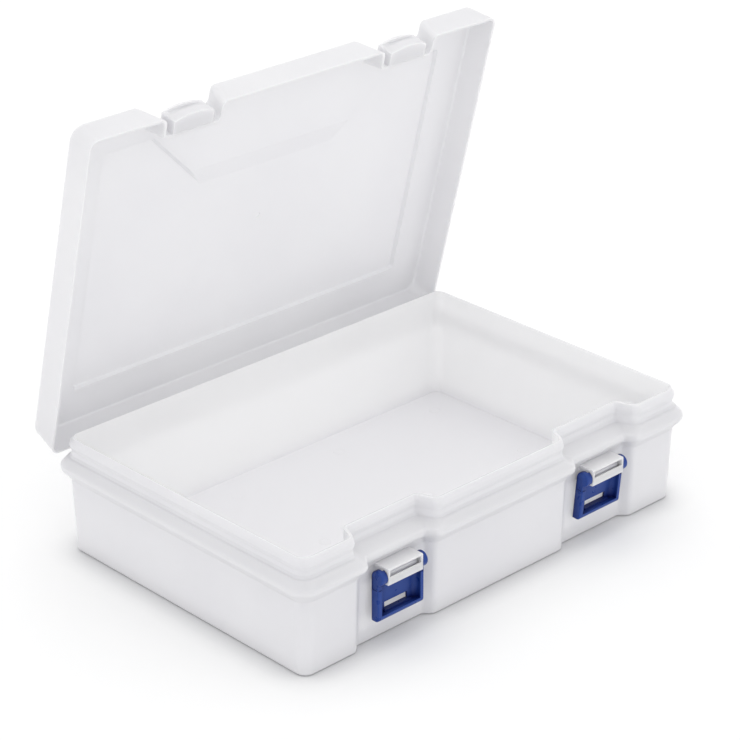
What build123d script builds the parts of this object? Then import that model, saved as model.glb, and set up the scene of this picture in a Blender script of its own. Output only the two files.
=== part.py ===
"""Hinged storage box: a moulded tub, a lid on two steel hinge pins and two swing-up latches.

Millimetres, +Z up, the front with the latches towards -Y. The origin is the middle of the flat underside.
The lid stands open as in the photograph and the latches hang down.
"""

import math
import os

from build123d import *

# Tub, measured over its flat underside
base_width = 342.4
base_depth = 228.4
tub_height = 83.0
floor_thickness = 2.0
wall_thickness = 1.9
wall_draft = 1.6
underside_round = 1.6
upright_corner = 8.0
corner_growth = 0.85

# Bead round the tub under the lid, and the seat that the lid's rim comes down to
bead_height = 62.3
bead_reach = 8.0
bead_nose = 3.9
bead_start = 53.0
seat_reach = 3.6
seat_gap = 0.3

# Neck and lip that stand inside the closed lid
neck_offset = 0.6
neck_rise = 5.0
lip_height = 78.0
lip_half_height = 3.6
lip_swell = 1.3
lip_inset = 0.5
lip_gap = 1.8
lip_edge = 0.8

# Bays that the latches sit in, as deep as the fingers need
bay_spacing = 187.4
tub_bay_depth = 5.5
tub_bay_half = 28.5
tub_bay_flare = 5.5
bead_bay_depth = 7.5
bead_bay_half = 25.5
mouth_round = 6.0
root_round = 3.0

# Lid
lid_wall = 1.9
lid_top = 2.0
lid_height = 22.4
lid_rim_height = 69.0
lid_back_extra = 2.7
lid_draft = 0.7
lid_rim_corner = 6.5
lid_top_corner = 11.5
lid_edge_round = 3.0
lid_inner_round = 1.0
lid_bay_depth = 13.5
lid_bay_half = 22.2
lid_bay_spread = 6.3
lid_bay_flare = 0.6
lid_mouth_round = 4.5
panel_rise = 2.4
panel_side_inset = 28.8
panel_end_inset = 27.8
panel_slope = 1.4
grip_front_half = 105.0
grip_back_half = 55.5
grip_depth = 48.5
grip_ramp = 13.0
gate_mark_radius = 3.0
gate_mark_depth = 0.5
inner_mark_radius = 2.0
inner_mark_depth = 0.4

# Hinge at the back, two stations
hinge_spacing = 190.0
hinge_drop = 2.67
hinge_set_back = 7.86
hinge_pin_radius = 1.0
knuckle_wall = 1.2
lid_knuckle_length = 30.0
tub_knuckle_length = 12.0
knuckle_gap = 0.4
pocket_gap = 1.1
leg_reach = 0.2
lid_open_angle = 75.7

# Latches; the right one leans in towards the wall
latch_width = 39.7
latch_drop = 31.6
latch_pivot_height = 48.8
latch_pivot_reach = 3.5
latch_leans = (0.0, 5.0)
latch_rail = 3.2
latch_depth = 6.7
latch_rail_front = 1.5
latch_ear_radius = 5.2
latch_ear_face = 1.2
latch_plate = 1.5
latch_plate_start = 9.0
latch_end_wall = 4.1
latch_lip_round = 3.2
latch_rim_round = 1.0
latch_tray_round = 3.5
latch_ridge = 1.0
latch_ridge_reach = 2.2
latch_ridge_width = 23.0
latch_slot_width = 19.8
latch_slot_height = 4.6
latch_step = 0.4
latch_panel_depth = 0.3
latch_panel_border = 1.2
latch_pin_radius = 2.0
ear_gap = 0.3

# Boss on the tub that carries the latch pin, with a window in its face
boss_width = 29.6
boss_below = 4.9
boss_above = 6.7
boss_reach = 5.5
boss_face = 1.0
boss_floor = 2.0
boss_side = 1.3
boss_pocket = 2.4
boss_window_height = 4.5
boss_window_rise = 1.0
boss_edge = 0.8

# Catch on the lid that the latch hooks over
catch_width = 32.4
catch_reach = 4.1
catch_sweep = 2.9
catch_rise = 13.6
hook_gap = 0.3
hook_bite = 2.4

# Fits, and how far a cut runs past what it cuts
cut_margin = 1.0
running_clearance = 0.05
pin_seat_clearance = 0.02
pin_end_gap = 0.5

quarter_turn = [math.radians(30 * step) for step in range(4)]
half_width = base_width / 2
half_depth = base_depth / 2
bay_centres = (-bay_spacing / 2, bay_spacing / 2)
lid_inner = neck_offset + lip_swell + lip_gap
lid_overhang = lid_inner + lid_wall
neck_bay_spread = lid_bay_spread * (tub_height - lid_rim_height) / lid_height
neck_bay_half = lid_bay_half + neck_bay_spread + lid_wall + lip_gap
seat_height = lid_rim_height - seat_gap

lid_top_height = lid_rim_height + lid_height
lid_ceiling = lid_top_height - lid_top
lid_back = half_depth + lid_overhang + lid_back_extra
catch_front = -(half_depth + catch_reach)

hinge_y = half_depth + hinge_set_back
hinge_z = lid_rim_height - hinge_drop
knuckle_radius = hinge_pin_radius + knuckle_wall
latch_y = -(half_depth + latch_pivot_reach)
latch_z = latch_pivot_height


def ring(height, offset, corner, bay_depth, bay_half, bay_rounds, back=0.0):
    """Draw one closed outline of the box at a height, grown by offset, with a bay for each latch."""
    flare, mouth, root = bay_rounds
    side = half_width + offset
    end = half_depth + offset
    bay_floor = -(end - bay_depth)
    points = [(-side, end + back), (-side, -end)]
    radii = [corner, corner]
    for centre in bay_centres:
        points += [(centre - bay_half - flare, -end), (centre - bay_half, bay_floor)]
        points += [(centre + bay_half, bay_floor), (centre + bay_half + flare, -end)]
        radii += [mouth, root, root, mouth]
    points += [(side, -end), (side, end + back)]
    radii += [corner, corner]
    with BuildSketch(Plane.XY.offset(height)) as outline:
        with BuildLine():
            FilletPolyline(points, radius=radii, close=True)
        make_face()
    return outline.sketch.face()


def tub_ring(height, offset, bay_depth, bay_half, bay_rounds):
    """Draw the tub's outline at a height; its corners grow with it."""
    corner = max(upright_corner + min(offset, offset * corner_growth), 1.0)
    return ring(height, offset, corner, bay_depth, bay_half, bay_rounds)


def tub_levels():
    """List height, offset, bay depth and bay half-width up the outside of the tub."""
    levels = []
    for turn in quarter_turn:
        rise = underside_round * (1 - math.cos(turn))
        inset = -underside_round * (1 - math.sin(turn))
        levels.append((rise, inset, tub_bay_depth, tub_bay_half))
    levels.append((bead_start, wall_draft, tub_bay_depth, tub_bay_half))
    nose_offset = bead_reach - bead_nose
    for turn in (-75, -50, -25, 0, 25, 50):
        level = bead_height + bead_nose * math.sin(math.radians(turn))
        offset = nose_offset + bead_nose * math.cos(math.radians(turn))
        levels.append((level, offset, bead_bay_depth, bead_bay_half))
    for turn in quarter_turn:
        level = seat_height + neck_rise * (1 - math.cos(turn))
        offset = neck_offset + (seat_reach - neck_offset) * (1 - math.sin(turn))
        levels.append((level, offset, lid_bay_depth, neck_bay_half))
    for share in (-1.0, -0.5, 0.0, 0.5, 1.0):
        level = lip_height + lip_half_height * share
        offset = neck_offset + lip_swell * math.cos(math.pi / 2 * share)
        levels.append((level, offset, lid_bay_depth, neck_bay_half))
    top_offset = neck_offset - lip_inset
    levels.append((tub_height - lip_edge, top_offset, lid_bay_depth, neck_bay_half))
    levels.append((tub_height, top_offset - lip_edge / 2, lid_bay_depth, neck_bay_half))
    return levels


def lid_levels():
    """List height and offset up the outside of the lid, with the round at its top edge."""
    levels = [(lid_rim_height, lid_overhang)]
    centre = lid_overhang - lid_draft - lid_edge_round
    for turn in quarter_turn:
        level = lid_top_height - lid_edge_round * (1 - math.sin(turn))
        levels.append((level, centre + lid_edge_round * math.cos(turn)))
    return levels


def panel_ring(height, inset, ramp):
    """Draw the raised field of the lid's top, with the grip recess cut into its front."""
    side = half_width + lid_overhang - panel_side_inset - inset
    end = half_depth + lid_overhang - panel_end_inset - inset
    back = end + lid_back_extra
    slant = (grip_front_half - grip_back_half) / grip_depth
    back_line = grip_depth - ramp
    front_half = grip_front_half + inset
    back_half = grip_front_half + inset - slant * back_line
    points = [(-side, back), (-side, -end), (-front_half, -end), (-back_half, -end + back_line)]
    points += [(back_half, -end + back_line), (front_half, -end), (side, -end), (side, back)]
    with BuildSketch(Plane.XY.offset(height)) as outline:
        with BuildLine():
            FilletPolyline(points, radius=root_round, close=True)
        make_face()
    return outline.sketch.face()


def lid_ring(height, offset):
    """Draw the lid's outline at a height; its corners and bays widen from the rim up."""
    change = lid_overhang - offset
    share = (height - lid_rim_height) / lid_height
    corner = max(lid_rim_corner + (lid_top_corner - lid_rim_corner) * share - change, 1.0)
    bay_half = lid_bay_half + lid_bay_spread * share + change
    bay_rounds = (lid_bay_flare, max(lid_mouth_round - change, 0.2), root_round + change)
    return ring(height, offset, corner, lid_bay_depth, bay_half, bay_rounds, lid_back_extra)


def bar_along_x(centre, length, y, z, radius, mode=Mode.ADD):
    """Place a round bar that lies along X, centred on a point."""
    with BuildSketch(Plane.YZ.offset(centre - length / 2)) as round_section:
        with Locations((y, z)):
            Circle(radius)
    return extrude(round_section.sketch.face(), amount=length, mode=mode)


def box_between(low, high, mode=Mode.ADD):
    """Place a plain block between two opposite corners."""
    size = [b - a for a, b in zip(low, high)]
    middle = [(a + b) / 2 for a, b in zip(low, high)]
    with Locations(tuple(middle)):
        return Box(*size, mode=mode)


def finish_piece(piece, label):
    """Name a finished piece and write it out."""
    piece.label = label
    export_step(piece, f"parts/{label}.step")


os.makedirs("parts", exist_ok=True)

hinge_centres = (-hinge_spacing / 2, hinge_spacing / 2)
station_half = lid_knuckle_length / 2 + knuckle_gap
tub_knuckle_middle = station_half + tub_knuckle_length / 2
knuckle_centres = [c + side * tub_knuckle_middle for c in hinge_centres for side in (-1, 1)]
hinge_pin_length = 2 * (station_half + tub_knuckle_length - pin_end_gap)
pocket_floor = hinge_z - knuckle_radius - pocket_gap

# Tub: shell, bosses, hinge knuckles, then the hollows
neck_inner = neck_offset - wall_thickness
floor_half = tub_bay_half + wall_thickness
core_half = neck_bay_half + wall_thickness
bay_rounds = (tub_bay_flare, mouth_round, root_round)
core_rounds = (tub_bay_flare, mouth_round - wall_thickness, root_round + wall_thickness)
core_levels = [
    (floor_thickness, -wall_thickness, tub_bay_depth, floor_half),
    (bead_start, neck_inner, tub_bay_depth, floor_half),
    (bead_start + lid_bay_depth - tub_bay_depth, neck_inner, lid_bay_depth, core_half),
    (tub_height, neck_inner, lid_bay_depth, core_half),
]
window_half = boss_width / 2 - boss_side
window_low = latch_z + boss_window_rise
window_high = window_low + boss_window_height
boss_front = latch_y - boss_reach

with BuildPart() as tub:
    loft([tub_ring(*level, bay_rounds) for level in tub_levels()], ruled=True)
    for centre in bay_centres:
        low = (centre - boss_width / 2, boss_front, latch_z - boss_below)
        high = (centre + boss_width / 2, tub_bay_depth - half_depth, latch_z + boss_above)
        box_between(low, high)
    at_face = tub.edges().filter_by_position(Axis.Y, boss_front - 0.01, boss_front + 0.01)
    fillet(at_face.filter_by(Axis.X), boss_edge)
    for centre in hinge_centres:
        low = (centre - station_half, half_depth + neck_offset + lip_swell, pocket_floor)
        high = (centre + station_half, half_depth + 2 * bead_reach, lid_rim_height)
        box_between(low, high, Mode.SUBTRACT)
    for centre in knuckle_centres:
        low = (centre - tub_knuckle_length / 2, half_depth, bead_height)
        high = (centre + tub_knuckle_length / 2, hinge_y + leg_reach, hinge_z)
        box_between(low, high)
        bar_along_x(centre, tub_knuckle_length, hinge_y, hinge_z, knuckle_radius)
    loft([tub_ring(*level, core_rounds) for level in core_levels], ruled=True, mode=Mode.SUBTRACT)
    for centre in bay_centres:
        low = (centre - window_half, boss_front + boss_face, latch_z - boss_below + boss_floor)
        high = (centre + window_half, latch_y + boss_pocket, window_high)
        box_between(low, high, Mode.SUBTRACT)
        low = (centre - window_half, boss_front - boss_face, window_low)
        high = (centre + window_half, latch_y, window_high)
        box_between(low, high, Mode.SUBTRACT)
        seat_radius = latch_pin_radius + pin_seat_clearance
        bar_along_x(centre, boss_width, latch_y, latch_z, seat_radius, Mode.SUBTRACT)
    for centre in knuckle_centres:
        seat_radius = hinge_pin_radius + pin_seat_clearance
        bar_along_x(centre, tub_knuckle_length, hinge_y, hinge_z, seat_radius, Mode.SUBTRACT)
finish_piece(tub.part, "tub")

# Lid, made closed and then swung open about the hinge
lid_core_levels = [
    (lid_rim_height, lid_inner),
    (lid_ceiling - lid_inner_round, lid_inner - lid_draft),
    (lid_ceiling, lid_inner - lid_draft - lid_inner_round),
]
catch_back = -(half_depth + lid_overhang - lid_bay_depth) + lid_wall / 2
hook_low = latch_z + latch_drop - latch_end_wall - hook_gap
hook_high = latch_z + latch_drop + 2 * hook_gap

with BuildPart() as lid:
    loft([lid_ring(*level) for level in lid_levels()], ruled=True)
    panel_levels = [panel_ring(lid_top_height, 0.0, grip_ramp)]
    panel_levels.append(panel_ring(lid_top_height + panel_rise, panel_slope, 0.0))
    loft(panel_levels, ruled=True)
    loft([lid_ring(*level) for level in lid_core_levels], ruled=True, mode=Mode.SUBTRACT)
    pocket_levels = [panel_ring(lid_ceiling, lid_top / 2, grip_ramp)]
    pocket_levels.append(panel_ring(lid_ceiling + panel_rise, lid_top / 2 + panel_slope, 0.0))
    loft(pocket_levels, ruled=True, mode=Mode.SUBTRACT)
    with BuildSketch(Plane.XY.offset(lid_top_height + panel_rise)) as gate_mark:
        with Locations((0, lid_back_extra / 2)):
            Circle(gate_mark_radius)
    extrude(gate_mark.sketch.face(), amount=-gate_mark_depth, mode=Mode.SUBTRACT)
    with BuildSketch(Plane.XY.offset(lid_ceiling + panel_rise)) as inner_mark:
        with Locations((0, lid_back_extra / 2)):
            Circle(inner_mark_radius)
    extrude(inner_mark.sketch.face(), amount=inner_mark_depth, mode=Mode.SUBTRACT)
    for centre in bay_centres:
        left = centre - catch_width / 2
        right = centre + catch_width / 2
        with BuildSketch(Plane.XY.offset(lid_rim_height + hook_gap)) as catch:
            with BuildLine():
                shoulder = catch_front + catch_sweep
                Polyline((right, shoulder), (right, catch_back), (left, catch_back), (left, shoulder))
                ThreePointArc((left, shoulder), (centre, catch_front), (right, shoulder))
            make_face()
        extrude(catch.sketch.face(), amount=catch_rise - hook_gap)
        low = (left - cut_margin, catch_front - cut_margin, hook_low)
        high = (right + cut_margin, catch_front + hook_bite, hook_high)
        box_between(low, high, Mode.SUBTRACT)
    for centre in hinge_centres:
        low = (centre - lid_knuckle_length / 2, lid_back - lid_wall, hinge_z)
        high = (centre + lid_knuckle_length / 2, lid_back - lid_draft, lid_rim_height + lid_wall)
        box_between(low, high)
        bar_along_x(centre, lid_knuckle_length, hinge_y, hinge_z, knuckle_radius)
        bore_radius = hinge_pin_radius + running_clearance
        bar_along_x(centre, lid_knuckle_length, hinge_y, hinge_z, bore_radius, Mode.SUBTRACT)
hinge_axis = Axis((0, hinge_y, hinge_z), (-1, 0, 0))
finish_piece(lid.part.rotate(hinge_axis, lid_open_angle), "lid")

# Latches, hanging open below their pins
tray_half = latch_width / 2 - latch_rail
rail_front = latch_y - latch_rail_front
rail_back = rail_front + latch_depth
plate_front = rail_back - latch_plate
latch_low = latch_z - latch_drop
end_wall_top = latch_low + latch_end_wall
plate_top = latch_z - latch_plate_start
slot_low = end_wall_top + latch_ridge
ear_length = latch_width / 2 - boss_width / 2 - ear_gap
ear_middle = boss_width / 2 + ear_gap + ear_length / 2
bore_length = ear_length - latch_ear_face
bore_middle = boss_width / 2 + ear_gap + bore_length / 2
latch_axis = Axis((0, latch_y, latch_z), (-1, 0, 0))

for label, centre, lean in zip(("latch_left", "latch_right"), bay_centres, latch_leans):
    with BuildPart() as latch:
        with BuildSketch(Plane.YZ.offset(centre - latch_width / 2)) as side_profile:
            with BuildLine():
                corners = [(rail_front, latch_low), (rail_front, latch_z)]
                corners += [(rail_back, latch_z), (rail_back, latch_low)]
                Polyline(corners, close=True)
            make_face()
            lip_corner = side_profile.vertices().group_by(Axis.Y)[0].sort_by(Axis.X)[0]
            fillet(lip_corner, latch_lip_round)
        extrude(side_profile.sketch.face(), amount=latch_width)
        for side in (-1, 1):
            bar_along_x(centre + side * ear_middle, ear_length, latch_y, latch_z, latch_ear_radius)
        low = (centre - tray_half, rail_front, plate_top)
        box_between(low, (centre + tray_half, rail_back, latch_z + latch_ear_radius), Mode.SUBTRACT)
        side_faces = latch.faces().filter_by(Axis.X).group_by(Axis.X)
        rims = [edge for face in side_faces[0] + side_faces[-1] for edge in face.edges()]
        fillet(rims, latch_rim_round)
        low = (centre - tray_half, rail_front, end_wall_top)
        box_between(low, (centre + tray_half, plate_front, latch_z), Mode.SUBTRACT)
        at_plate = latch.edges().filter_by_position(Axis.Y, plate_front - 0.01, plate_front + 0.01)
        fillet(at_plate.filter_by(Axis.Z), latch_tray_round)
        low = (centre - latch_ridge_width / 2, plate_front - latch_ridge_reach, end_wall_top)
        box_between(low, (centre + latch_ridge_width / 2, rail_back, slot_low))
        low = (centre - latch_slot_width / 2, plate_front, slot_low)
        high = (centre + latch_slot_width / 2, rail_back, slot_low + latch_slot_height)
        box_between(low, high, Mode.SUBTRACT)
        step_top = latch_z - math.sqrt(latch_ear_radius**2 - latch_rail_front**2)
        low = (centre - latch_width / 2, rail_front, plate_top)
        box_between(low, (centre + latch_width / 2, rail_front + latch_step, step_top), Mode.SUBTRACT)
        bore_radius = latch_pin_radius + running_clearance
        for side in (-1, 1):
            face = centre + side * latch_width / 2
            low = (face - latch_panel_depth, rail_front + latch_panel_border, plate_top)
            high = (face + latch_panel_depth, rail_back - latch_panel_border, latch_z)
            box_between(low, high, Mode.SUBTRACT)
            bore_centre = centre + side * bore_middle
            bar_along_x(bore_centre, bore_length, latch_y, latch_z, bore_radius, Mode.SUBTRACT)
    finish_piece(latch.part.rotate(latch_axis, -lean), label)

# Steel pins; the latch pins stop inside the ears
latch_pin_length = 2 * (boss_width / 2 + ear_gap + bore_length - pin_end_gap)

for label, centre in zip(("latch_pin_left", "latch_pin_right"), bay_centres):
    with BuildPart() as latch_pin:
        bar_along_x(centre, latch_pin_length, latch_y, latch_z, latch_pin_radius)
    finish_piece(latch_pin.part, label)

for label, centre in zip(("hinge_pin_left", "hinge_pin_right"), hinge_centres):
    with BuildPart() as hinge_pin:
        bar_along_x(centre, hinge_pin_length, hinge_y, hinge_z, hinge_pin_radius)
    finish_piece(hinge_pin.part, label)
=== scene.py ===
"""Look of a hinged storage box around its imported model: milky plastic, blue latches, steel pins.

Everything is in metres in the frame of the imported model: +Z up, the front with the latches towards -Y,
the origin in the middle of the flat underside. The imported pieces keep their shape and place.
"""

import math

import bmesh
import bpy
from bpy.props import FloatProperty, FloatVectorProperty, IntProperty, PointerProperty
from mathutils import Matrix, Vector


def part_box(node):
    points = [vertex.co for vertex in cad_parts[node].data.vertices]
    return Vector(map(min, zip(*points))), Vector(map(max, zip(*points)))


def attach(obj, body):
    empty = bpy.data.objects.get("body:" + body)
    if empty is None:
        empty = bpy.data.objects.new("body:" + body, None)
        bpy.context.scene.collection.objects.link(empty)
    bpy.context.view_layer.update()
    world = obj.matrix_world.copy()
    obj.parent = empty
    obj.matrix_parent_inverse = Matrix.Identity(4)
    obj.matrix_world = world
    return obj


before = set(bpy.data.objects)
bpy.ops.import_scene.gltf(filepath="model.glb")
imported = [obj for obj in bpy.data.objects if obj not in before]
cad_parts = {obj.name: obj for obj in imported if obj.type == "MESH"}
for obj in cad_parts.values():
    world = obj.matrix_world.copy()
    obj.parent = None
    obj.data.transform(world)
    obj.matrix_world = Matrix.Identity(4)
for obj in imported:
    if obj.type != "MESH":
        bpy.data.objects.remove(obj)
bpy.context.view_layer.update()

bl_info = {
    "name": "Hinged storage box",
    "version": (1, 0, 0),
    "blender": (4, 5, 0),
    "location": "View3D > Sidebar > Box",
    "description": "Gives the packed box its plastics and steel, its moulding marks and its studio",
    "category": "Object",
}

# Part of a noise's range that is spread out, so that it goes from one end to the other
NOISE_RANGE = (0.3, 0.7)
# Share of open space that counts as a tight corner, and as quite open
OPEN_RANGE = (0.5, 0.95)
OPEN_SAMPLES = 8
EDGE_SAMPLES = 4
# How strongly a face has to point at the middle of the tub to count as an inner wall
INWARD_RANGE = (-0.05, -0.25)
# Power that leaves only the nearest outer wall to say which way is inward
NEAREST_WALL_POWER = 7.0
# Share of the painted inner light's depth at which it begins
INNER_FADE_START = 1 / 3
# Size of the patches in the roughness of the milky plastic, as a share of its clouds
SHEEN_SHARE = 1 / 3
# Height of a ring's line halfway to its side, as a share of its height
RING_SHOULDER = 0.85
SENSOR_WIDTH = 36.0
CLIP_RANGE = (0.05, 50.0)


class PlasticSettings(bpy.types.PropertyGroup):
    """The milky plastic of the tub and the lid."""

    colour: FloatVectorProperty(
        name="Colour", description="Colour of the plastic where it is densest",
        subtype="COLOR", size=3, min=0.0, max=1.0, default=(0.715, 0.712, 0.733),
    )
    pale_colour: FloatVectorProperty(
        name="Pale colour", description="Colour of the plastic where the melt flowed thin",
        subtype="COLOR", size=3, min=0.0, max=1.0, default=(0.742, 0.740, 0.757),
    )
    # Painted light: the tub's inside is coloured lighter, standing for light that comes through its walls
    painted_inner_light: FloatVectorProperty(
        name="Inner colour", description="Colour inside the tub, lighter for light through its walls",
        subtype="COLOR", size=3, min=0.0, max=1.0, default=(0.965, 0.961, 0.976),
    )
    painted_light_start: FloatProperty(
        name="Inner start", description="Depth in the tub's outline where the inner colour is full",
        unit="LENGTH", min=0.0, max=0.01, default=0.0009,
    )
    glow: FloatProperty(
        name="Glow", description="Share of the light that scatters inside the wall",
        subtype="FACTOR", min=0.0, max=1.0, default=1.0,
    )
    glow_start: FloatProperty(
        name="Glow start", description="Height up to which no light comes through the wall",
        unit="LENGTH", min=0.0, max=0.1, default=0.0025,
    )
    glow_full: FloatProperty(
        name="Glow full", description="Height from which light comes through in full",
        unit="LENGTH", min=0.0, max=0.1, default=0.012,
    )
    glow_depth: FloatProperty(
        name="Glow depth", description="How far light travels inside the plastic",
        unit="LENGTH", min=0.0001, max=0.05, default=0.004,
    )
    lid_glow_depth: FloatProperty(
        name="Lid glow depth", description="How far light travels inside the lid",
        unit="LENGTH", min=0.0001, max=0.05, default=0.006,
    )
    bay_glow_depth: FloatProperty(
        name="Bay glow depth", description="How far light travels in the wall behind a latch",
        unit="LENGTH", min=0.0001, max=0.05, default=0.022,
    )
    bay_fade: FloatProperty(
        name="Bay fade", description="Distance round a latch over which that depth falls off",
        unit="LENGTH", min=0.0001, max=0.05, default=0.008,
    )
    bay_share: FloatProperty(
        name="Bay share", description="Share of a latch, from its lower end, with that wall behind it",
        subtype="FACTOR", min=0.0, max=1.0, default=0.55,
    )
    cloud_size: FloatProperty(
        name="Cloud size", description="Size of the milky clouds in the plastic",
        unit="LENGTH", min=0.005, max=0.5, default=0.09,
    )
    roughness: FloatProperty(
        name="Roughness", description="Mean roughness of the moulded skin",
        subtype="FACTOR", min=0.0, max=1.0, default=0.42,
    )
    roughness_spread: FloatProperty(
        name="Roughness spread", description="How far the roughness wanders to either side",
        subtype="FACTOR", min=0.0, max=0.5, default=0.07,
    )
    grain_size: FloatProperty(
        name="Grain size", description="Size of the fine grain that the mould leaves",
        unit="LENGTH", min=0.0002, max=0.01, default=0.0012,
    )
    grain_depth: FloatProperty(
        name="Grain depth", description="Height of the fine grain",
        unit="LENGTH", min=0.0, max=0.001, default=0.00002,
    )
    ripple_size: FloatProperty(
        name="Ripple size", description="Length of the slow ripple of a cooled wall",
        unit="LENGTH", min=0.005, max=0.5, default=0.05,
    )
    ripple_depth: FloatProperty(
        name="Ripple depth", description="Height of the slow ripple",
        unit="LENGTH", min=0.0, max=0.002, default=0.00012,
    )
    edge_round: FloatProperty(
        name="Edge round", description="Radius at which sharp edges catch the light",
        unit="LENGTH", min=0.0, max=0.002, default=0.0004,
    )


class LatchSettings(bpy.types.PropertyGroup):
    """The dark blue plastic of the latches."""

    colour: FloatVectorProperty(
        name="Colour", description="Colour of the latches",
        subtype="COLOR", size=3, min=0.0, max=1.0, default=(0.016, 0.050, 0.250),
    )
    worn_colour: FloatVectorProperty(
        name="Worn colour", description="Colour where handling has dulled the latches",
        subtype="COLOR", size=3, min=0.0, max=1.0, default=(0.024, 0.064, 0.285),
    )
    # Painted shade: the latches are coloured darker in corners where little light reaches
    painted_corner_shade: FloatVectorProperty(
        name="Deep colour", description="Colour in the corners that little light reaches",
        subtype="COLOR", size=3, min=0.0, max=1.0, default=(0.002, 0.008, 0.090),
    )
    corner_shade_reach: FloatProperty(
        name="Deep reach", description="How near a wall has to be to take light from a corner",
        unit="LENGTH", min=0.0001, max=0.05, default=0.009,
    )
    shine: FloatProperty(
        name="Shine", description="Strength of the reflections",
        subtype="FACTOR", min=0.0, max=1.0, default=0.22,
    )
    patch_size: FloatProperty(
        name="Patch size", description="Size of the duller patches",
        unit="LENGTH", min=0.001, max=0.1, default=0.006,
    )
    roughness: FloatProperty(
        name="Roughness", description="Mean roughness of the latches",
        subtype="FACTOR", min=0.0, max=1.0, default=0.34,
    )
    roughness_spread: FloatProperty(
        name="Roughness spread", description="How far the roughness wanders to either side",
        subtype="FACTOR", min=0.0, max=0.5, default=0.08,
    )
    grain_size: FloatProperty(
        name="Grain size", description="Size of the grain in the moulded skin",
        unit="LENGTH", min=0.0001, max=0.01, default=0.0005,
    )
    grain_depth: FloatProperty(
        name="Grain depth", description="Height of the grain",
        unit="LENGTH", min=0.0, max=0.001, default=0.000012,
    )
    edge_round: FloatProperty(
        name="Edge round", description="Radius at which sharp edges catch the light",
        unit="LENGTH", min=0.0, max=0.002, default=0.0003,
    )


class PinSettings(bpy.types.PropertyGroup):
    """The drawn steel wire of the pins."""

    colour: FloatVectorProperty(
        name="Colour", description="Colour of the steel",
        subtype="COLOR", size=3, min=0.0, max=1.0, default=(0.81, 0.81, 0.84),
    )
    dull_colour: FloatVectorProperty(
        name="Dull colour", description="Colour in the drawing marks",
        subtype="COLOR", size=3, min=0.0, max=1.0, default=(0.72, 0.72, 0.75),
    )
    mark_width: FloatProperty(
        name="Mark width", description="Width of one drawing mark across the wire",
        unit="LENGTH", min=0.00005, max=0.01, default=0.0003,
    )
    mark_length: FloatProperty(
        name="Mark length", description="Length of one drawing mark along the wire",
        unit="LENGTH", min=0.001, max=0.1, default=0.012,
    )
    mark_depth: FloatProperty(
        name="Mark depth", description="Height of the drawing marks",
        unit="LENGTH", min=0.0, max=0.001, default=0.000008,
    )
    roughness: FloatProperty(
        name="Roughness", description="Roughness of the steel",
        subtype="FACTOR", min=0.0, max=1.0, default=0.62,
    )


class MarkSettings(bpy.types.PropertyGroup):
    """The rings that ejector pins leave on the floor of the tub."""

    ring_radius: FloatProperty(
        name="Ring radius", description="Radius of one ring",
        unit="LENGTH", min=0.001, max=0.02, default=0.004,
    )
    ring_width: FloatProperty(
        name="Ring width", description="Width of the raised line of a ring",
        unit="LENGTH", min=0.0001, max=0.002, default=0.0003,
    )
    ring_height: FloatProperty(
        name="Ring height", description="Height of the raised line of a ring",
        unit="LENGTH", min=0.00005, max=0.001, default=0.00006,
    )
    segments: IntProperty(
        name="Segments", description="Straight pieces round a ring", min=12, max=128, default=48,
    )
    columns: IntProperty(
        name="Columns", description="Rings along the length of the box", min=1, max=9, default=4,
    )
    rows: IntProperty(
        name="Rows", description="Rings across the box", min=1, max=9, default=3,
    )
    border: FloatProperty(
        name="Border", description="Distance of the outer rings from the walls",
        unit="LENGTH", min=0.005, max=0.1, default=0.035,
    )


class StageSettings(bpy.types.PropertyGroup):
    """The floor, the lights and the camera."""

    floor_size: FloatProperty(
        name="Floor size", description="Length of the floor's side",
        unit="LENGTH", min=1.0, max=50.0, default=14.0,
    )
    floor_gap: FloatProperty(
        name="Floor gap", description="Air left between the underside and the floor",
        unit="LENGTH", min=0.0, max=0.01, default=0.0004,
    )
    floor_colour: FloatVectorProperty(
        name="Floor colour", description="Colour of the floor",
        subtype="COLOR", size=3, min=0.0, max=1.0, default=(1.0, 1.0, 1.0),
    )
    # Painted shadow: the floor is coloured darker close to the box, as its contact shadow
    shade_colour: FloatVectorProperty(
        name="Shade colour", description="Colour of the floor right under the edge of the box",
        subtype="COLOR", size=3, min=0.0, max=1.0, default=(0.74, 0.74, 0.75),
    )
    shade_reach: FloatProperty(
        name="Shade reach", description="How far from the box the floor is shaded",
        unit="LENGTH", min=0.001, max=0.5, default=0.022,
    )
    wall_light: FloatProperty(
        name="Wall light", description="Brightness of the room near the horizon",
        min=0.0, max=5.0, default=1.0,
    )
    ceiling_light: FloatProperty(
        name="Ceiling light", description="Brightness of the room overhead",
        min=0.0, max=5.0, default=1.05,
    )
    top_power: FloatProperty(
        name="Top light", description="Power of the large lamp above and behind the box",
        unit="POWER", min=0.0, max=500.0, default=1.8,
    )
    top_size: FloatProperty(
        name="Top light size", description="Side of the large lamp",
        unit="LENGTH", min=0.1, max=10.0, default=1.2,
    )
    top_place: FloatVectorProperty(
        name="Top light place", description="Where the large lamp hangs",
        subtype="XYZ", unit="LENGTH", size=3, default=(0.45, 0.75, 1.9),
    )
    camera_azimuth: FloatProperty(
        name="Azimuth", description="Turn of the camera round the box, 0 at the front",
        subtype="ANGLE", default=math.radians(-43.63),
    )
    camera_elevation: FloatProperty(
        name="Elevation", description="Height of the camera above the horizon",
        subtype="ANGLE", default=math.radians(25.47),
    )
    camera_roll: FloatProperty(
        name="Roll", description="Turn of the camera about its own view line",
        subtype="ANGLE", default=math.radians(0.18),
    )
    camera_distance: FloatProperty(
        name="Distance", description="Distance from the camera to its target",
        unit="LENGTH", min=0.1, max=20.0, default=1.7492,
    )
    camera_target: FloatVectorProperty(
        name="Target", description="Point that the camera looks at",
        subtype="XYZ", unit="LENGTH", size=3, default=(-0.0008, 0.0060, 0.1114),
    )
    camera_lens: FloatProperty(
        name="Focal length", description="Focal length on a sensor 36 mm wide",
        min=10.0, max=400.0, default=128.66,
    )


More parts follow.
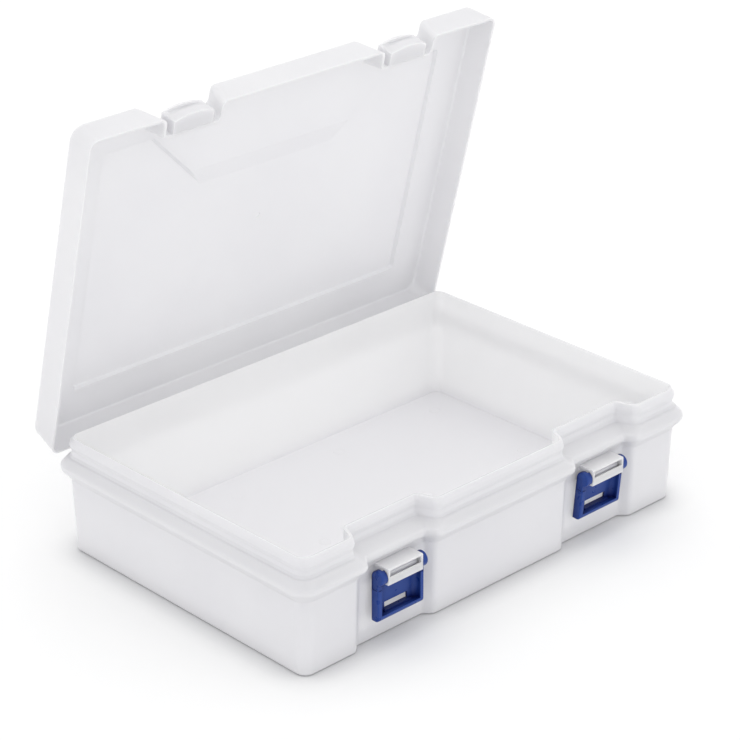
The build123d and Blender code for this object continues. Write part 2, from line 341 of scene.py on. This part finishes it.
def start_material(name):
    """Make an empty node material and return it with its tree and output node."""
    material = bpy.data.materials.new(name)
    material.use_nodes = True
    tree = material.node_tree
    tree.nodes.clear()
    output = tree.nodes.new("ShaderNodeOutputMaterial")
    return material, tree, output


def add_node(tree, kind, **values):
    """Add a node and set its inputs by name, with underscores for spaces."""
    node = tree.nodes.new(kind)
    for name, value in values.items():
        node.inputs[name.replace("_", " ")].default_value = value
    return node


def between(tree, value, first, last, low=0.0, high=1.0):
    """Add a value that goes from low to high while another goes from first to last."""
    spread = add_node(
        tree, "ShaderNodeMapRange", From_Min=first, From_Max=last, To_Min=low, To_Max=high,
    )
    tree.links.new(value, spread.inputs["Value"])
    return spread.outputs["Result"]


def axes_of(tree, vector):
    """Add the X, Y and Z parts of a vector."""
    split = tree.nodes.new("ShaderNodeSeparateXYZ")
    tree.links.new(vector, split.inputs["Vector"])
    return split.outputs


def wander(tree, place, size, low, high, detail=2.0):
    """Add a noise of a given size, read at place, that wanders from low to high."""
    noise = add_node(tree, "ShaderNodeTexNoise", Scale=1.0 / size, Detail=detail, Roughness=0.5)
    tree.links.new(place, noise.inputs["Vector"])
    return between(tree, noise.outputs["Fac"], *NOISE_RANGE, low, high)


def two_colours(tree, share, first, second):
    """Add a mix of two colours, each a socket or a value, by a share and return its colour socket."""
    mix = tree.nodes.new("ShaderNodeMix")
    mix.data_type = "RGBA"
    for socket, colour in zip([s for s in mix.inputs if s.type == "RGBA"], (first, second)):
        if isinstance(colour, bpy.types.NodeSocket):
            tree.links.new(colour, socket)
        else:
            socket.default_value = (*colour, 1.0)
    tree.links.new(share, mix.inputs["Factor"])
    return [s for s in mix.outputs if s.type == "RGBA"][0]


def openness(tree, reach):
    """Add a value that is 0 in a tight corner and 1 where nothing stands within reach."""
    around = add_node(tree, "ShaderNodeAmbientOcclusion", Distance=reach)
    around.samples = OPEN_SAMPLES
    return between(tree, around.outputs["AO"], *OPEN_RANGE)


def relief(tree, height, depth, normal):
    """Add a bump of a given depth in metres on top of a normal and return the new normal."""
    bump = add_node(tree, "ShaderNodeBump", Strength=1.0, Distance=depth)
    tree.links.new(height, bump.inputs["Height"])
    tree.links.new(normal, bump.inputs["Normal"])
    return bump.outputs["Normal"]


def soft_edge(tree, radius):
    """Add a normal that is rounded near sharp edges."""
    edge = add_node(tree, "ShaderNodeBevel", Radius=radius)
    edge.samples = EDGE_SAMPLES
    return edge.outputs["Normal"]


def maths(tree, kind, first, second=None):
    """Add a maths node on one or two values, each a socket or a number, and return its result."""
    node = tree.nodes.new("ShaderNodeMath")
    node.operation = kind
    for socket, value in zip(node.inputs, (first, second)):
        if isinstance(value, bpy.types.NodeSocket):
            tree.links.new(value, socket)
        elif value is not None:
            socket.default_value = value
    return node.outputs["Value"]


def painted_light_share(tree, place, half_size, look):
    """Add the mask of the painted inner light: 1 on the floor and walls inside an upright box round the
    origin, else 0.
    """
    spot = axes_of(tree, place)
    facing = axes_of(tree, tree.nodes.new("ShaderNodeTexCoord").outputs["Normal"])
    beyond = []
    inward = []
    for axis, half in zip("XY", half_size):
        beyond.append(maths(tree, "SUBTRACT", maths(tree, "ABSOLUTE", spot[axis]), half))
        side = maths(tree, "POWER", maths(tree, "DIVIDE", spot[axis], half), NEAREST_WALL_POWER)
        inward.append(maths(tree, "MULTIPLY", facing[axis], side))
    start = look.painted_light_start
    enclosed = between(tree, maths(tree, "MAXIMUM", *beyond), -start * INNER_FADE_START, -start)
    wall = between(tree, maths(tree, "ADD", *inward), *INWARD_RANGE)
    upward = maths(tree, "MAXIMUM", facing["Z"], 0.0)
    near_floor = between(tree, spot["Z"], look.glow_full, look.glow_full / 2)
    floor = maths(tree, "MULTIPLY", near_floor, upward)
    return maths(tree, "MULTIPLY", enclosed, maths(tree, "MAXIMUM", wall, floor))


def near_boxes(tree, place, boxes, fade):
    """Add a value that is 1 inside any of some boxes and falls to 0 over a distance outside them."""
    spot = axes_of(tree, place)
    nearest = fade
    for low, high in boxes:
        beyond = 0.0
        for axis, first, last in zip("XYZ", low, high):
            from_middle = maths(tree, "SUBTRACT", spot[axis], (first + last) / 2)
            outside = maths(tree, "SUBTRACT", maths(tree, "ABSOLUTE", from_middle), (last - first) / 2)
            beyond = maths(tree, "MAXIMUM", outside, beyond)
        nearest = maths(tree, "MINIMUM", beyond, nearest)
    return between(tree, nearest, fade, 0.0)


def milky_plastic(look, name, depth, half_size=None, thin_boxes=()):
    """Moulded milky plastic: a satin skin over a body that lets light through.

    It has painted light inside half_size, a lighter colour standing for light through the tub's walls,
    and light travels farther in it near thin_boxes.
    """
    material, tree, output = start_material(name)
    place = tree.nodes.new("ShaderNodeTexCoord").outputs["Object"]
    clouds = wander(tree, place, look.cloud_size, 0.0, 1.0, detail=3.0)
    skin = add_node(
        tree, "ShaderNodeBsdfPrincipled", IOR=1.49,
        Subsurface_Radius=(1.0, 1.0, 1.0), Subsurface_Scale=depth,
    )
    height = axes_of(tree, place)["Z"]
    lit_through = between(tree, height, look.glow_start, look.glow_full, 0.0, look.glow)
    tree.links.new(lit_through, skin.inputs["Subsurface Weight"])
    colour = two_colours(tree, clouds, look.colour, look.pale_colour)
    if thin_boxes:
        thin = near_boxes(tree, place, thin_boxes, look.bay_fade)
        depths = between(tree, thin, 0.0, 1.0, depth, look.bay_glow_depth)
        tree.links.new(depths, skin.inputs["Subsurface Scale"])
    if half_size:
        # Painted light: inside the tub the colour goes over to the lighter painted inner light
        inside = painted_light_share(tree, place, half_size, look)
        colour = two_colours(tree, inside, colour, look.painted_inner_light)
    tree.links.new(colour, skin.inputs["Base Color"])
    low = look.roughness - look.roughness_spread
    high = look.roughness + look.roughness_spread
    sheen = wander(tree, place, look.cloud_size * SHEEN_SHARE, low, high)
    tree.links.new(sheen, skin.inputs["Roughness"])
    normal = soft_edge(tree, look.edge_round)
    ripple = wander(tree, place, look.ripple_size, 0.0, 1.0, detail=1.0)
    normal = relief(tree, ripple, look.ripple_depth, normal)
    grain = wander(tree, place, look.grain_size, 0.0, 1.0)
    normal = relief(tree, grain, look.grain_depth, normal)
    tree.links.new(normal, skin.inputs["Normal"])
    tree.links.new(skin.outputs["BSDF"], output.inputs["Surface"])
    return material


def latch_blue(look):
    """Moulded dark blue plastic, satin, a little duller in patches, with painted shade darkening its
    corners.
    """
    material, tree, output = start_material("blue_clip")
    place = tree.nodes.new("ShaderNodeTexCoord").outputs["Object"]
    skin = add_node(tree, "ShaderNodeBsdfPrincipled", IOR=1.49, Specular_IOR_Level=look.shine)
    patches = wander(tree, place, look.patch_size, 0.0, 1.0, detail=3.0)
    surface = two_colours(tree, patches, look.colour, look.worn_colour)
    # Painted shade: the colour darkens towards the deep colour in tight corners, by an occlusion mask
    shaded = two_colours(tree, openness(tree, look.corner_shade_reach), look.painted_corner_shade, surface)
    tree.links.new(shaded, skin.inputs["Base Color"])
    low = look.roughness - look.roughness_spread
    high = look.roughness + look.roughness_spread
    tree.links.new(wander(tree, place, look.patch_size, low, high), skin.inputs["Roughness"])
    grain = wander(tree, place, look.grain_size, 0.0, 1.0)
    normal = relief(tree, grain, look.grain_depth, soft_edge(tree, look.edge_round))
    tree.links.new(normal, skin.inputs["Normal"])
    tree.links.new(skin.outputs["BSDF"], output.inputs["Surface"])
    return material


def drawn_steel(look):
    """Steel wire with fine marks along it from drawing."""
    material, tree, output = start_material("steel_wire")
    place = tree.nodes.new("ShaderNodeTexCoord").outputs["Object"]
    stretch = add_node(tree, "ShaderNodeMapping", Scale=(look.mark_width / look.mark_length, 1.0, 1.0))
    tree.links.new(place, stretch.inputs["Vector"])
    marks = wander(tree, stretch.outputs["Vector"], look.mark_width, 0.0, 1.0)
    skin = add_node(tree, "ShaderNodeBsdfPrincipled", Metallic=1.0, Roughness=look.roughness)
    tree.links.new(two_colours(tree, marks, look.colour, look.dull_colour), skin.inputs["Base Color"])
    normal = relief(tree, marks, look.mark_depth, soft_edge(tree, look.mark_width))
    tree.links.new(normal, skin.inputs["Normal"])
    tree.links.new(skin.outputs["BSDF"], output.inputs["Surface"])
    return material


def dress(node_name, material):
    """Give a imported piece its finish."""
    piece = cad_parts[node_name]
    if not piece.material_slots:
        piece.data.materials.append(material)
    for slot in piece.material_slots:
        slot.material = material


def nodes_called(start):
    """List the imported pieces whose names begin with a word, in order."""
    names = sorted(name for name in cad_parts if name.startswith(start))
    if not names:
        raise RuntimeError(f"the packed model has no piece called {start}")
    return names


def hit(node_name, start, direction):
    """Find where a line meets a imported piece: the point and the outward normal there."""
    found, point, normal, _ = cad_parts[node_name].ray_cast(start, direction)
    if not found:
        raise RuntimeError(f"a line from {tuple(start)} meets nothing of {node_name}")
    return point, normal


def add_ring(mesh, point, normal, look):
    """Add one raised ring, with a half-round line, that lies on a surface at a point."""
    turn = normal.to_track_quat("Z", "Y").to_matrix().to_4x4()
    place = Matrix.Translation(point) @ turn
    half = look.ring_width / 2
    shoulder = look.ring_height * RING_SHOULDER
    profile = [(-half, -half), (-half, 0.0), (-half / 2, shoulder), (0.0, look.ring_height)]
    profile += [(half / 2, shoulder), (half, 0.0), (half, -half)]
    loops = []
    for step in range(look.segments):
        angle = 2 * math.pi * step / look.segments
        loop = []
        for out, up in profile:
            radius = look.ring_radius + out
            spot = Vector((radius * math.cos(angle), radius * math.sin(angle), up))
            loop.append(mesh.verts.new(place @ spot))
        loops.append(loop)
    for step, loop in enumerate(loops):
        following = loops[(step + 1) % look.segments]
        for row in range(len(profile)):
            next_row = (row + 1) % len(profile)
            mesh.faces.new((loop[row], following[row], following[next_row], loop[next_row]))


def add_marks(name, spots, look, material, body):
    """Make one piece of all the rings at the given spots, riding on a body."""
    mesh = bmesh.new()
    for point, normal in spots:
        add_ring(mesh, point, normal, look)
    bmesh.ops.recalc_face_normals(mesh, faces=mesh.faces)
    data = bpy.data.meshes.new(name)
    mesh.to_mesh(data)
    mesh.free()
    data.materials.append(material)
    data.polygons.foreach_set("use_smooth", [True] * len(data.polygons))
    marks = bpy.data.objects.new(name, data)
    bpy.context.scene.collection.objects.link(marks)
    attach(marks, body)


def spread_out(low, high, count):
    """Place a number of values evenly from low to high."""
    if count == 1:
        return [(low + high) / 2]
    return [low + (high - low) * step / (count - 1) for step in range(count)]


class BOX_OT_dress_tub(bpy.types.Operator):
    """Give the tub its milky plastic, with painted light on its inside, and the ejector rings on its
    floor
    """

    bl_idname = "box.dress_tub"
    bl_label = "Dress the tub"

    def execute(self, context):
        look = context.scene.box_plastic
        low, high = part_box("tub")
        end_wall = hit("tub", Vector((2 * low.x, 0, look.glow_full)), Vector((1, 0, 0)))[0]
        front_wall = hit("tub", Vector((0, 2 * low.y, look.glow_full)), Vector((0, 1, 0)))[0]
        # The inner outline of the walls bounds the painted inner light
        half_size = (-end_wall.x, -front_wall.y)
        thin_boxes = []
        for name in ("latch_left", "latch_right"):
            first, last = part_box(name)
            top = first.z + (last.z - first.z) * look.bay_share
            thin_boxes.append((tuple(first), (last.x, last.y, top)))
        material = milky_plastic(look, "milky_tub", look.glow_depth, half_size, thin_boxes)
        dress("tub", material)
        rings = context.scene.box_marks
        spots = []
        for x in spread_out(low.x + rings.border, high.x - rings.border, rings.columns):
            for y in spread_out(low.y + rings.border, high.y - rings.border, rings.rows):
                spots.append(hit("tub", Vector((x, y, high.z)), Vector((0, 0, -1))))
        add_marks("tub_floor_rings", spots, rings, material, "root")
        return {"FINISHED"}


class BOX_OT_dress_lid(bpy.types.Operator):
    """Give the lid its milky plastic"""

    bl_idname = "box.dress_lid"
    bl_label = "Dress the lid"

    def execute(self, context):
        look = context.scene.box_plastic
        dress("lid", milky_plastic(look, "milky_lid", look.lid_glow_depth))
        return {"FINISHED"}


class BOX_OT_dress_latches(bpy.types.Operator):
    """Give the latches their dark blue plastic"""

    bl_idname = "box.dress_latches"
    bl_label = "Dress the latches"

    def execute(self, context):
        material = latch_blue(context.scene.box_latches)
        for name in nodes_called("latch_"):
            if "pin" not in name:
                dress(name, material)
        return {"FINISHED"}


class BOX_OT_dress_pins(bpy.types.Operator):
    """Give the latch pins and hinge pins their drawn steel"""

    bl_idname = "box.dress_pins"
    bl_label = "Dress the pins"

    def execute(self, context):
        material = drawn_steel(context.scene.box_pins)
        for name in nodes_called("latch_pin") + nodes_called("hinge_pin"):
            dress(name, material)
        return {"FINISHED"}


class BOX_OT_set_stage(bpy.types.Operator):
    """Set up the white floor, the white room, the lamp and the camera"""

    bl_idname = "box.set_stage"
    bl_label = "Set the stage"

    def execute(self, context):
        look = context.scene.box_stage
        self.lay_floor(context, look)
        self.light_room(context, look)
        self.place_camera(context, look)
        context.scene.view_settings.view_transform = "Standard"
        return {"FINISHED"}

    def lay_floor(self, context, look):
        """Lay a pale floor under the box, with a painted shadow near the box's foot."""
        half = look.floor_size / 2
        data = bpy.data.meshes.new("floor")
        under = -look.floor_gap
        corners = [(x, y, under) for x, y in ((-half, -half), (half, -half), (half, half), (-half, half))]
        data.from_pydata(corners, [], [(0, 1, 2, 3)])
        material, tree, output = start_material("studio_floor")
        skin = tree.nodes.new("ShaderNodeBsdfDiffuse")
        # Painted shadow: the floor colour goes to the shade colour where the box stands close
        open_share = openness(tree, look.shade_reach)
        colour = two_colours(tree, open_share, look.shade_colour, look.floor_colour)
        tree.links.new(colour, skin.inputs["Color"])
        tree.links.new(skin.outputs["BSDF"], output.inputs["Surface"])
        data.materials.append(material)
        floor = bpy.data.objects.new("floor", data)
        context.scene.collection.objects.link(floor)

    def light_room(self, context, look):
        """Light the box from a white room and from one large lamp."""
        room = bpy.data.worlds.new("white_room")
        room.use_nodes = True
        tree = room.node_tree
        tree.nodes.clear()
        output = tree.nodes.new("ShaderNodeOutputWorld")
        height = axes_of(tree, tree.nodes.new("ShaderNodeTexCoord").outputs["Generated"])["Z"]
        rise = between(tree, height, 0.0, 1.0, look.wall_light, look.ceiling_light)
        light = add_node(tree, "ShaderNodeBackground", Color=(1.0, 1.0, 1.0, 1.0))
        tree.links.new(rise, light.inputs["Strength"])
        backdrop = add_node(tree, "ShaderNodeBackground", Color=(1.0, 1.0, 1.0, 1.0), Strength=1.0)
        either = tree.nodes.new("ShaderNodeMixShader")
        seen_directly = tree.nodes.new("ShaderNodeLightPath").outputs["Is Camera Ray"]
        tree.links.new(seen_directly, either.inputs["Fac"])
        tree.links.new(light.outputs["Background"], either.inputs[1])
        tree.links.new(backdrop.outputs["Background"], either.inputs[2])
        tree.links.new(either.outputs["Shader"], output.inputs["Surface"])
        context.scene.world = room
        data = bpy.data.lights.new("top_lamp", "AREA")
        data.energy = look.top_power
        data.size = look.top_size
        lamp = bpy.data.objects.new("top_lamp", data)
        lamp.location = look.top_place
        lamp.rotation_euler = (-Vector(look.top_place)).to_track_quat("-Z", "Y").to_euler()
        context.scene.collection.objects.link(lamp)

    def place_camera(self, context, look):
        """Stand the camera where the photograph was taken from."""
        azimuth, elevation = look.camera_azimuth, look.camera_elevation
        back = Vector((math.sin(azimuth), -math.cos(azimuth), 0)) * math.cos(elevation)
        back.z = math.sin(elevation)
        data = bpy.data.cameras.new("camera")
        data.sensor_width = SENSOR_WIDTH
        data.lens = look.camera_lens
        data.clip_start, data.clip_end = CLIP_RANGE
        camera = bpy.data.objects.new("camera", data)
        facing = (-back).to_track_quat("-Z", "Y").to_matrix()
        rolled = facing @ Matrix.Rotation(-look.camera_roll, 3, "Z")
        place = Vector(look.camera_target) + back * look.camera_distance
        camera.matrix_world = Matrix.Translation(place) @ rolled.to_4x4()
        context.scene.collection.objects.link(camera)
        context.scene.camera = camera


class BOX_PT_build(bpy.types.Panel):
    """The sidebar panel with the operators and settings of the box"""

    bl_idname = "BOX_PT_build"
    bl_label = "Hinged storage box"
    bl_space_type = "VIEW_3D"
    bl_region_type = "UI"
    bl_category = "Box"

    def draw(self, context):
        layout = self.layout
        for operator in OPERATORS:
            layout.operator(operator.bl_idname)
        for group_name in SETTINGS:
            group = getattr(context.scene, group_name)
            box = layout.box()
            for name in group.__annotations__:
                box.prop(group, name)


SETTINGS = {
    "box_plastic": PlasticSettings,
    "box_latches": LatchSettings,
    "box_pins": PinSettings,
    "box_marks": MarkSettings,
    "box_stage": StageSettings,
}
OPERATORS = (
    BOX_OT_dress_tub,
    BOX_OT_dress_lid,
    BOX_OT_dress_latches,
    BOX_OT_dress_pins,
    BOX_OT_set_stage,
)


def register():
    """Register the settings, the operators and the panel."""
    for cls in (*SETTINGS.values(), *OPERATORS, BOX_PT_build):
        bpy.utils.register_class(cls)
    for name, cls in SETTINGS.items():
        setattr(bpy.types.Scene, name, PointerProperty(type=cls))


def unregister():
    """Take the settings, the operators and the panel away again."""
    for name in SETTINGS:
        delattr(bpy.types.Scene, name)
    for cls in (BOX_PT_build, *reversed(OPERATORS), *reversed(SETTINGS.values())):
        bpy.utils.unregister_class(cls)


def main():
    """Build everything in order."""
    register()
    bpy.ops.box.dress_tub()
    bpy.ops.box.dress_lid()
    bpy.ops.box.dress_latches()
    bpy.ops.box.dress_pins()
    bpy.ops.box.set_stage()


if __name__ == "__main__":
    main()
